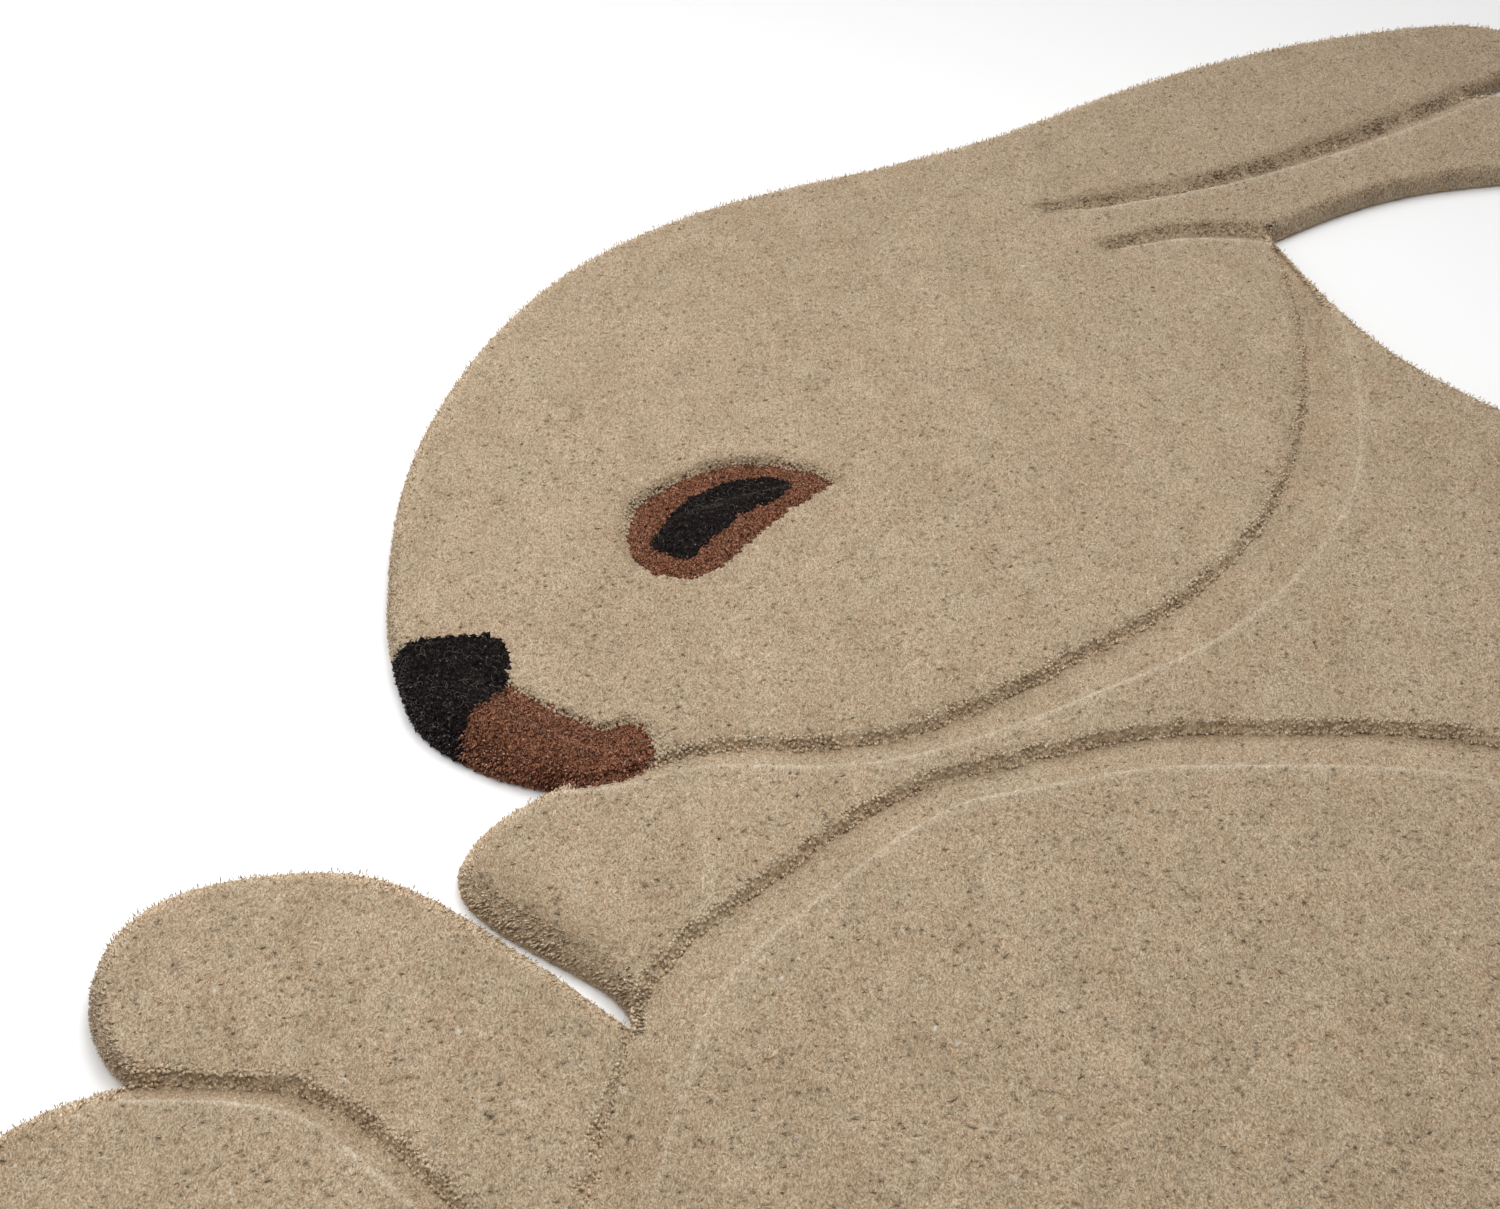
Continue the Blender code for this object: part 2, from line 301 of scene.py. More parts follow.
def rounded_run(stations, step):
    """Places every step along the rounded line through the stations, the heading at
    each, and how far along the stations it lies."""
    places, headings, shares = [], [], []
    for i, (here, there) in enumerate(zip(stations, stations[1:])):
        start, end = np.array([here.x, here.y], float), np.array([there.x, there.y], float)
        leave, arrive = math.radians(here.leave), math.radians(there.arrive)
        turn = (arrive - leave + math.pi) % (2 * math.pi) - math.pi
        reach = np.linalg.norm(end - start) / (3.0 * math.cos(turn / 4.0) ** 2)
        first = start + reach * np.array([math.cos(leave), math.sin(leave)])
        second = end - reach * np.array([math.cos(arrive), math.sin(arrive)])

        def along(t):
            t = t[:, None]
            s = 1.0 - t
            place = s**3 * start + 3 * s * s * t * first + 3 * s * t * t * second + t**3 * end
            way = s * s * (first - start) + 2 * s * t * (second - first) + t * t * (end - second)
            return place, np.arctan2(way[:, 1], way[:, 0])

        fine = np.linspace(0.0, 1.0, 160)
        gone = np.linalg.norm(np.diff(along(fine)[0], axis=0), axis=1).cumsum()
        gone = np.concatenate([[0.0], gone])
        count = max(2, round(gone[-1] / step))
        t = np.interp(np.arange(count) / count * gone[-1], gone, fine)
        place, heading = along(t)
        places.append(place)
        headings.append(heading)
        shares.append(i + t)
    last = stations[-1]
    places.append([[last.x, last.y]])
    headings.append([math.radians(last.arrive)])
    shares.append([len(stations) - 1.0])
    return np.vstack(places), np.concatenate(headings), np.concatenate(shares)


def closed_run(stations, step):
    """The same, round a ring that comes back to its first station."""
    return rounded_run(stations + stations[:1], step)


def rightward(headings):
    """Unit steps to the right of the way."""
    return np.column_stack([np.sin(headings), -np.cos(headings)])


def search_tree(places):
    """A tree that finds places on the floor by where they are."""
    tree = kdtree.KDTree(len(places))
    for i, (x, y) in enumerate(places.tolist()):
        tree.insert((x, y, 0.0), i)
    tree.balance()
    return tree


def level_way(angle):
    """Unit ways over the floor."""
    return np.column_stack([np.cos(angle), np.sin(angle), np.zeros(len(angle))])


def nearest_on(run, places):
    """For each place: distance to the run, whether it is on the right, and where."""
    tree = search_tree(run)
    close = np.array([tree.find((x, y, 0.0))[1] for x, y in places.tolist()], int)
    best = np.full(len(places), 1e9)
    side, where = np.zeros(len(places)), np.zeros(len(places))
    for shift in (-1, 0):
        i = np.clip(close + shift, 0, len(run) - 2)
        way = run[i + 1] - run[i]
        rel = places - run[i]
        share = np.clip((rel * way).sum(1) / (way**2).sum(1), 0.0, 1.0)
        distance = np.linalg.norm(rel - share[:, None] * way, axis=1)
        cross = (way[:, 0] * rel[:, 1] - way[:, 1] * rel[:, 0]) / np.linalg.norm(way, axis=1)
        take = (distance < best - 1e-6) | ((distance < best + 1e-6) & (abs(cross) > abs(side)))
        best = np.where(take, distance, best)
        side = np.where(take, cross, side)
        where = np.where(take, i + share, where)
    return best, side <= 0.0, where


def close_to(run, places, reach):
    """Which places lie in the run's box, widened by the reach."""
    return np.flatnonzero(((places > run.min(0) - reach) & (places < run.max(0) + reach)).all(1))


def inside(places, ring):
    """Whether each place lies inside the closed ring."""
    found = np.zeros(len(places), bool)
    near = close_to(ring, places, 0.0)
    ax, ay = ring[:, 0], ring[:, 1]
    bx, by = np.roll(ax, -1), np.roll(ay, -1)
    slope = np.where(by == ay, 0.0, (bx - ax) / np.where(by == ay, 1.0, by - ay))
    for part in np.array_split(near, max(1, len(near) // 20000)):
        x, y = places[part, :1], places[part, 1:]
        spans = (ay > y) != (by > y)
        found[part] = (spans & (x < ax + (y - ay) * slope)).sum(1) % 2 == 1
    return found


def clouds(places, size, seed):
    """Soft random hills and hollows of about that size, from -1 to 1."""
    random = np.random.default_rng(seed)
    cell = places / size + 1000.0
    base = np.floor(cell).astype(int)
    part = cell - base
    part = part * part * (3.0 - 2.0 * part)
    grid = random.uniform(-1.0, 1.0, (256, 256))

    def corner(dx, dy):
        return grid[(base[:, 0] + dx) % 256, (base[:, 1] + dy) % 256]

    low = corner(0, 0) * (1 - part[:, 0]) + corner(1, 0) * part[:, 0]
    high = corner(0, 1) * (1 - part[:, 0]) + corner(1, 1) * part[:, 0]
    return low * (1 - part[:, 1]) + high * part[:, 1]


RIM, RIM_HEADING, RIM_SHARE = closed_run(OUTLINE, YARN_STEP)
RIM_LOOP = np.vstack([RIM[:-1], RIM[:1]])
RIM, RIM_HEADING = RIM[:-1], RIM_HEADING[:-1]
COARSE_RIM = closed_run(OUTLINE, 6.0)[0][:-1]
LINES = {name: rounded_run(cuts, YARN_STEP) for name, cuts in CARVED_LINES.items()}


def edge_width(share):
    """How far in the sheared edge reaches the full height, and how far it is a slant,
    at shares along the outline."""
    plain = Slant((EDGE_ROUND, 0.0), (EDGE_ROUND, 0.0))
    rows = np.array([SLANTS.get(row.place, plain) for row in OUTLINE])
    run = np.clip(share.astype(int), 0, len(OUTLINE) - 1)
    part = (share - run)[:, None]
    both = rows[run, 0] * (1.0 - part) + rows[run, 1] * part
    return both[:, 0], both[:, 1]


def edge_drop(rim, width, slant):
    """How far the pile's edge lies under the full height, that far in from the rim."""
    share = np.clip(1.0 - rim / width, 0.0, 1.0)
    rounded = 1.0 - np.sqrt(1.0 - share**2)
    sunk = 0.8 * slant * np.clip(1.0 - rim / (2.2 * width), 0.0, 1.0) ** 2
    return (RUG_THICKNESS - PILE_BELLY) * (rounded + (share**1.15 - rounded) * slant) + sunk


def wall_share(back, wide):
    """How deep a carved wall lies that far behind its foot, as a share of the carving."""
    steep = np.clip(1.0 - back / wide, 0.0, 1.0)
    return 0.8 * steep + 0.2 * np.clip(1.0 - back / wide / WALL_SHOULDER, 0.0, 1.0) ** 2


def cut_at(name, where):
    """Ramp width and depth of a carved line at places along it."""
    run, _, share = LINES[name]
    at = np.interp(where, np.arange(len(run)), share)
    stations = np.arange(len(CARVED_LINES[name]))
    return (np.interp(at, stations, [row.ramp for row in CARVED_LINES[name]]),
            np.interp(at, stations, [row.depth for row in CARVED_LINES[name]]))


def lit_side(headings):
    """How far the rug's side gets painted light: fully where it faces +Y or straight sideways,
    fading to none where it faces -Y.
    """
    return np.clip(0.4 - rightward(headings)[:, 1], 0.0, 0.4) / 0.4


def overhang(headings):
    """How far the nap leans out over the foot of a carved wall; it weights the painted shade at
    the foot and the painted highlight on the ramp's crest.
    """
    return np.clip(rightward(headings) @ [math.sin(NAP), -math.cos(NAP)], 0.0, 1.0) ** 2


def hills(places, layers):
    """Layers of clouds on top of one another, each so high and wide, from its own seed."""
    return sum(height * clouds(places, size, seed) for height, size, seed in layers)


def wobble(places):
    """How far a carved wall strays from its line, in mm."""
    return hills(places, WALL_WOBBLE)


def crest_light(right, distance, ramp, over):
    """The painted highlight that makes a ramp's crest pale, where the shears left an edge.  Just
    before the crest, and on ramps that the nap doesn't lean over, painted shade makes the pile a
    little darker."""
    past = distance - ramp
    glow = 0.8 * np.exp(-(past / 1.2) ** 2) + 0.3 * np.exp(-past / 4.5) * (past > 0.0)
    glow -= 0.3 * np.exp(-((past + 2.2) / 1.1) ** 2)
    glow *= 0.4 + 0.6 * over
    glow -= 0.7 * (1.0 - over) * np.clip(distance / 6.0, 0.0, 1.0) * (past < -1.5)
    return glow * right * (ramp > 5.0)


def wall_shade(name, right, distance, wide, over, deep):
    """How dark the pile is beside a carved wall: under its overhang, and behind it."""
    front = 2.4 * over**2 * deep**3 - 0.5 * (1.0 - over)
    low = np.where(right, front, 0.4) * deep
    low *= np.exp(-(distance / np.where(right, 5.6, wide + 0.6)) ** 2.5)
    if name in SOFT_SHADE:
        strength, reach = SOFT_SHADE[name]
        low = np.where(right, low, strength * np.exp(-(distance / reach) ** 4))
    return low


def stronger(here, there):
    """Of two layers of shade or light, the one that departs more from none."""
    return np.where(abs(there) > abs(here), there, here)


def read_pile(places):
    """Height of the pile, distance to the rim, how near a carved wall each place is, how
    light or dark the carving makes it, and how far it is from the worked rows."""
    rim, _, where = nearest_on(RIM_LOOP, places)
    width, slant = edge_width(np.interp(where, np.arange(len(RIM_SHARE)), RIM_SHARE))
    drop = edge_drop(rim, width, slant)
    # painted light on the side near the rim
    pale = lit_side(RIM_HEADING[where.astype(int) % len(RIM)]) * np.exp(-(rim / 7.0) ** 4)
    wall, crest, shade = (np.zeros(len(places)) for _ in range(3))
    clear = np.full(len(places), 99.0)
    ragged = wobble(places)
    for name, (run, headings, _) in LINES.items():
        near = close_to(run, places, LINE_REACH)
        distance, right, where = nearest_on(run, places[near])
        over = overhang(headings[where.astype(int)])
        ramp, depth = cut_at(name, where)
        deep = depth / CARVING
        wide = WIDE_WALLS.get(name, WALL_WIDTH)
        past = np.where(right, distance, -distance)
        past -= ragged[near] * np.exp(-np.maximum(past, 0.0) / 3.0)
        right, distance = past > 0.0, abs(past)
        share = np.where(right, np.clip(1.0 - distance / ramp, 0.0, 1.0),
                         wall_share(distance, wide))
        drop[near] = np.maximum(drop[near], depth * share)
        behind = np.where(right, 0.0, deep * np.clip(1.0 - distance / wide / 1.6, 0.0, 1.0))
        wall[near] = np.maximum(wall[near], behind)
        crest[near] = stronger(crest[near], crest_light(right, distance, ramp, over) * deep)
        shade[near] = stronger(shade[near], wall_shade(name, right, distance, wide, over, deep))
        rows = np.maximum(distance - np.where(right, FOOT_CLEAR, wide), 0.0)
        from_crest = abs(distance - ramp + SEAM) - SEAM
        crest_rows = np.where(right, np.maximum(from_crest, 0.0), 99.0)
        clear[near] = np.minimum(clear[near], np.minimum(rows, crest_rows))
    return {"height": RUG_THICKNESS - drop, "rim": rim, "wall": wall, "crest": crest,
            "shade": shade, "clear": clear, "pale": pale,
            "slant": slant * (rim < 2.0 * width)}


# ---------------------------------------------------------------- the pile's surface

def thin_out(places, ranks, gap):
    """Keeps the places that stand at least a gap from those before them."""
    tree = search_tree(places)
    gone = np.zeros(len(places), bool)
    for i in np.argsort(ranks, kind="stable"):
        if gone[i]:
            continue
        for _, j, _ in tree.find_range((places[i, 0], places[i, 1], 0.0), gap):
            if j != i:
                gone[j] = True
    return ~gone


def worked_places():
    """Rows of places along the rim and the carved lines."""
    rows, ranks = [RIM], [np.zeros(len(RIM))]
    for k, inset in enumerate(RIM_INSETS[1:]):
        ring = [RIM + rightward(RIM_HEADING) * inset]
        for here in OUTLINE:
            opening = math.radians((here.leave - here.arrive) % 360.0)
            if here.arrive != here.leave:
                count = max(2, round(opening * inset / YARN_STEP))
                fan = math.radians(here.arrive) + opening * np.arange(count) / count
                ring.append(np.array([[here.x, here.y]]) + rightward(fan) * inset)
        rows.append(np.vstack(ring))
        ranks.append(np.full(len(rows[-1]), 1.0 + k))
    rims = sum(len(row) for row in rows)
    random = np.random.default_rng(12)
    for field in YARN_FIELDS.values():
        run, heading, _ = closed_run(field, 1.25)
        for offset in (-SEAM, SEAM):
            row = run + rightward(heading) * offset + random.uniform(-0.3, 0.3, run.shape)
            row = row[nearest_on(RIM_LOOP, row)[0] > 5.5]
            rows.append(row)
            ranks.append(np.full(len(row), 9.0))
    for name, (run, heading, _) in LINES.items():
        wide = WIDE_WALLS.get(name, WALL_WIDTH)
        for k, offset in enumerate((0.0, -wide, -wide / 2, 1.6, -wide / 4, -wide * 0.75)):
            if k > 3 and wide == WALL_WIDTH:
                continue
            rows.append(run + rightward(heading) * offset)
            ranks.append(np.full(len(run), 5.0 + k))
        ramp, depth = cut_at(name, np.arange(len(run)))
        for k, offset in enumerate((-2.0 * SEAM, 0.0)):
            row = run + rightward(heading) * (ramp + offset)[:, None]
            row = row[(depth > 2.0) & (nearest_on(run, row)[0] > ramp + offset - 0.3)]
            rows.append(row)
            ranks.append(np.full(len(row), 12.0 + k))
    places, ranks = np.vstack(rows), np.concatenate(ranks)
    # keep what is really as far in as its row says, and what the rim encloses
    rim = nearest_on(RIM_LOOP, places)[0]
    insets = np.array(RIM_INSETS)[np.clip(ranks, 0, 4).astype(int)] - 0.15
    due = np.where(np.arange(len(places)) < rims, insets, 0.9)
    keep = (rim >= due) & (inside(places, COARSE_RIM) | (ranks == 0))
    places, ranks = places[keep], ranks[keep]
    stay = thin_out(places, ranks, 0.62)
    stay[:len(RIM)] = True
    return places[stay]


def field_places():
    """The shaken rows of the plain field, clear of the worked rows."""
    low, high = RIM.min(0) - 10.0, RIM.max(0) + 10.0
    centre, half = (low + high) / 2, np.linalg.norm(high - low) / 2
    wide, long = YARN_STEP / NAP_STRETCH, YARN_STEP * math.sqrt(0.75) * NAP_STRETCH
    j, i = np.meshgrid(np.arange(int(2 * half / long)), np.arange(int(2 * half / wide)),
                       indexing="ij")
    grid = np.column_stack([((i + (j % 2) / 2) * wide - half).ravel(),
                            (j * long - half).ravel()])
    grid += (np.random.default_rng(11).uniform(-YARN_SHAKE, YARN_SHAKE, grid.shape)
             * [1.0 / NAP_STRETCH, NAP_STRETCH])
    turn = np.array([[math.cos(NAP), math.sin(NAP)], [-math.sin(NAP), math.cos(NAP)]])
    places = grid @ turn + centre
    places = places[inside(places, COARSE_RIM)]
    pile = read_pile(places)
    border = np.full(len(places), 99.0)
    for field in YARN_FIELDS.values():
        run = closed_run(field, 2.0)[0]
        near = close_to(run, places, 3.0)
        border[near] = np.minimum(border[near], nearest_on(run, places[near])[0])
    return places[(pile["rim"] > RIM_INSETS[-1] + 1.0) & (pile["clear"] > 0.9)
                  & (border > 1.5)]


def triangulate(places, count):
    """Places and triangles inside the ring of the first places, and which place each was."""
    edges = [(i, (i + 1) % count) for i in range(count)]
    found = delaunay_2d_cdt([Vector(p) for p in places.tolist()], edges, [], INSIDE, MERGE)
    flat = np.array([(v[0], v[1]) for v in found[0]])
    origin = np.array([o[0] if o else -1 for o in found[3]])
    return flat, origin, np.array([tri for tri in found[2] if len(tri) == 3])


def pile_surface():
    """Places and triangles of the pile seen from above, and which place each was."""
    return triangulate(np.vstack([worked_places(), field_places()]), len(RIM))


def pick_ends(count, triangles, random):
    """Picks the places that are yarn ends, in random order, so that no two touch."""
    a = np.concatenate([triangles[:, i] for i in (0, 1, 2, 1, 2, 0)])
    b = np.concatenate([triangles[:, i] for i in (1, 2, 0, 0, 1, 2)])
    rank = random.permutation(count) + 1.0
    chosen = np.zeros(count, bool)
    while rank.any():
        best = np.zeros(count)
        np.maximum.at(best, a, rank[b])
        won = rank > best
        chosen |= won
        rank[won] = 0.0
        rank[b[won[a]]] = 0.0
    return chosen


def surface_normals(points, triangles):
    a, b, c = (points[triangles[:, k]] for k in range(3))
    face = np.cross(b - a, c - a)
    normals = np.zeros_like(points)
    for k in range(3):
        for axis in range(3):
            normals[:, axis] += np.bincount(triangles[:, k], face[:, axis], len(points))
    return normals / np.maximum(np.linalg.norm(normals, axis=1), 1e-12)[:, None]


def work_pile():
    """The whole pile: points in mm, triangles, and what the finish reads at each."""
    random = np.random.default_rng(23)
    flat, origin, triangles = pile_surface()
    pile = read_pile(flat)
    points = np.column_stack([flat, pile["height"]])
    # the side below the belly, down to the floor
    order = {o: i for i, o in enumerate(origin.tolist()) if 0 <= o < len(RIM)}
    ring = np.array([order[o] for o in sorted(order)])
    outward = -rightward(RIM_HEADING[sorted(order)])
    above = ring
    for height, inset in SIDE_ROWS:
        row = np.column_stack([flat[ring] - outward * inset, np.full(len(ring), height)])
        below = len(points) + np.arange(len(ring))
        points = np.vstack([points, row])
        a, b, c, d = above, np.roll(above, -1), below, np.roll(below, -1)
        triangles = np.vstack([triangles, np.column_stack([a, b, c]),
                               np.column_stack([b, d, c])])
        above = below
    count = len(points)
    rim, wall, crest, shade, slant, pale = (
        np.concatenate([pile[key], np.zeros(count - len(flat))])
        for key in ("rim", "wall", "crest", "shade", "slant", "pale"))
    normals = surface_normals(points, triangles)
    side = np.clip((1.0 - normals[:, 2]) / 0.35, 0.0, 1.0)
    ends = pick_ends(count, triangles, random)
    relief = np.where(ends, END_RISE * random.uniform(0.2, 1.8, count),
                      -GAP_DROP * random.uniform(0.2, 1.6, count))
    relief *= np.where(abs(crest) > 0.4, 0.5, 1.0)
    relief += hills(points[:, :2], PILE_HILLS) + 0.4 * crest
    # the tufts on the sides stand on a slightly sunk surface
    relief -= np.where(rim < 14.0, 0.5 + 0.6 * slant, 0.4) * side
    foot = points[:, 2] < 2.0
    relief[foot] *= 0.5
    drift = NAP - math.pi / 2 + hills(points[:, :2], [NAP_DRIFT])
    nap = level_way(drift) * NAP_LEAN
    lean = np.where(ends[:, None], nap + random.normal(0.0, 0.3, (count, 3)), 0.0)
    lean -= normals * (lean * normals).sum(1)[:, None]
    lean[foot] *= 0.3
    points = points + normals * relief[:, None] + lean
    points[:, 2] = np.maximum(points[:, 2], 0.05)
    stray = np.full(count, 0.5)
    top = np.flatnonzero(ends & (rim > 8.0))
    for row in STRAYS:
        gap = np.hypot(points[top, 0] - row.x, points[top, 1] - row.y)
        stray[top[gap.argmin()]] = float(row.pale)
    for number, reach in ((PALE_STRAYS, (0.55, 0.9)), (DARK_STRAYS, (0.3, 0.44))):
        stray[random.choice(top, number, replace=False)] = random.uniform(*reach, number)
    # painted light and shade in the pile: the crest's highlight, the shade by the walls, light
    # on the sides and between a wall's tufts, shade above a slant
    tone = CREST_TONE * crest - shade + SIDE_LIGHT_TONE["pile"] * pale
    tone += (WALL_LIFT * wall + SLANT_LIGHT_AND_SHADE["pile"] * slant) * side
    strength, middle, reach = SLANT_SHADE
    tone -= strength * slant * np.exp(-((rim - middle) / reach) ** 2)
    # the crest's painted highlight is read again by the finish as a pale glint
    reading = {"end": ends.astype(float), "tuft": random.uniform(0.0, 1.0, count),
               "tone": tone, "stray": stray, "crest_highlight": np.maximum(crest, 0.0)}
    return points, triangles, ends, reading


# ---------------------------------------------------------------- meshes from arrays

def mesh_piece(name, points, triangles, reading, material):
    """An object of these triangles (mm, in the drawing), with what the finish reads."""
    used, index = np.unique(triangles, return_inverse=True)
    place = (points[used] - np.append(MIDDLE, 0.0)) * MM
    triangles = index.reshape(-1, 3)
    mesh = bpy.data.meshes.new(name)
    mesh.vertices.add(len(place))
    mesh.vertices.foreach_set("co", place.astype(np.float32).ravel())
    mesh.loops.add(triangles.size)
    mesh.loops.foreach_set("vertex_index", triangles.astype(np.int32).ravel())
    mesh.polygons.add(len(triangles))
    mesh.polygons.foreach_set("loop_start", np.arange(len(triangles), dtype=np.int32) * 3)
    mesh.update(calc_edges=True)
    mesh.validate()
    mesh.shade_smooth()
    for key, values in reading.items():
        layer = mesh.attributes.new(key, "FLOAT", "POINT")
        layer.data.foreach_set("value", values[used].astype(np.float32))
    mesh.materials.append(material)
    piece = bpy.data.objects.new(name, mesh)
    bpy.context.scene.collection.objects.link(piece)
    return piece


def yarns(roots, tips, width, rings, random):
    """Three-sided yarns.  Each ring is a share of the length and a share of the width, and
    a yarn bends a little at its rings."""
    count = len(roots)
    way = tips - roots
    length = np.linalg.norm(way, axis=1)[:, None]
    way = way / length
    side = np.cross(way, random.normal(0.0, 1.0, (count, 3)))
    side /= np.linalg.norm(side, axis=1)[:, None]
    other = np.cross(way, side)
    bend = side * random.normal(0.0, 0.06, (count, 1)) * length
    rows = [roots]
    for share, wide in rings:
        centre = roots + way * length * share + bend * (1.0 - abs(2.0 * share - 1.2))
        for k in range(3):
            turn = k * 2 * math.pi / 3
            arm = side * math.cos(turn) + other * math.sin(turn)
            rows.append(centre + arm * (width * wide)[:, None])
    points = np.stack(rows + [tips], axis=1)
    points[..., 2] = np.maximum(points[..., 2], 0.1)
    last = 3 * len(rings) + 1
    one = [(0, 2, 1), (0, 3, 2), (0, 1, 3)]
    for low in range(1, last - 3, 3):
        for k in range(3):
            a, b = low + k, low + (k + 1) % 3
            one += [(a, b, a + 3), (b, b + 3, a + 3)]
    one += [(last - 3, last - 2, last), (last - 2, last - 1, last), (last - 1, last - 3, last)]
    triangles = np.array(one)[None] + (np.arange(count) * (last + 1))[:, None, None]
    return points.reshape(-1, 3), triangles.reshape(-1, 3)


def outline_between(first, last):
    """The rug's outline from one named place to another."""
    order = [row.place for row in OUTLINE]
    return rounded_run(OUTLINE[order.index(first):order.index(last) + 1], 6.0)[0]


def label(places):
    """Which yarn field or form of the rabbit each place belongs to."""
    named = np.full(len(places), "chest_and_back", dtype=object)
    named[(places[:, 1] < -250.0)] = "foot"
    named[inside(places, LINES["body"][0])] = "flank"
    foreleg = np.vstack([outline_between("foot notch", "chest fork"),
                         rounded_run(CARVED_LINES["body"][:3], 6.0)[0][::-1]])
    middle = foreleg.mean(0)
    named[inside(places, middle + (foreleg - middle) * 1.002)] = "foreleg"
    head = np.vstack([outline_between("mouth notch", "ear base"), LINES["jaw"][0][::-1]])
    named[inside(places, head) & (named != "foreleg")] = "head"
    ears = np.flatnonzero(inside(places, outline_between("ear base", "nape")))
    right = nearest_on(LINES["near ear"][0], places[ears])[1]
    named[ears] = np.where(right, "far_ear", "near_ear")
    named[inside(places, outline_between("tail top", "tail underside"))] = "tail"
    shake = np.column_stack([clouds(places, 1.9, 31), clouds(places, 1.9, 32)]) * 0.35
    for field in ("mouth", "nose", "eye", "pupil"):
        ring = closed_run(YARN_FIELDS[field], 3.0)[0][:-1]
        named[inside(places + shake, ring)] = field
    return named


# ---------------------------------------------------------------- finishes

def linear(colour):
    """An sRGB hex colour as linear red, green, blue and alpha."""
    parts = [int(colour[i:i + 2], 16) / 255.0 for i in (1, 3, 5)]
    return [c / 12.92 if c <= 0.04045 else ((c + 0.055) / 1.055) ** 2.4 for c in parts] + [1.0]


def add(tree, kind, sockets=None, **settings):
    """Adds a node: settings are the node's own, sockets hold values or links."""
    made = tree.nodes.new("ShaderNode" + kind)
    for key, value in settings.items():
        setattr(made, key, value)
    for key, value in (sockets or {}).items():
        if isinstance(value, bpy.types.NodeSocket):
            tree.links.new(value, made.inputs[key])
        else:
            made.inputs[key].default_value = value
    return made


def per_mm(size):
    """The scale of a pattern whose features are that many mm apart."""
    return 1000.0 / size


def new_material(name):
    material = bpy.data.materials.new(name)
    material.use_nodes = True
    tree = material.node_tree
    tree.nodes.clear()
    return material, tree


# mix nodes number their colour sockets
A, B, MIXED = 6, 7, 2


def calc(tree, operation, *values, clamp=False):
    """One sum of one or two values."""
    return add(tree, "Math", dict(enumerate(values)), operation=operation,
               use_clamp=clamp).outputs[0]


def span(tree, value, reach, to, clamp=True):
    """The value's reach, stretched to another."""
    return add(tree, "MapRange", {"Value": value, "From Min": reach[0], "From Max": reach[1],
                                  "To Min": to[0], "To Max": to[1]}, clamp=clamp).outputs[0]


def scaled(tree, vector, factors):
    return add(tree, "VectorMath", {0: vector, 1: factors}, operation="MULTIPLY").outputs[0]


def turned(tree, vector, angle):
    return add(tree, "VectorRotate", {"Vector": vector, "Angle": angle},
               rotation_type="Z_AXIS").outputs[0]


def noise(tree, place, size, detail=2.0, roughness=0.5):
    """Soft random patches about that many mm apart."""
    return add(tree, "TexNoise", {"Vector": place, "Scale": per_mm(size), "Detail": detail,
                                  "Roughness": roughness})


def blend(tree, share, first, second, way="MIX"):
    return add(tree, "Mix", {0: share, A: first, B: second}, data_type="RGBA",
               blend_type=way).outputs[MIXED]


def split(tree, colour):
    return add(tree, "SeparateColor", {"Color": colour}).outputs


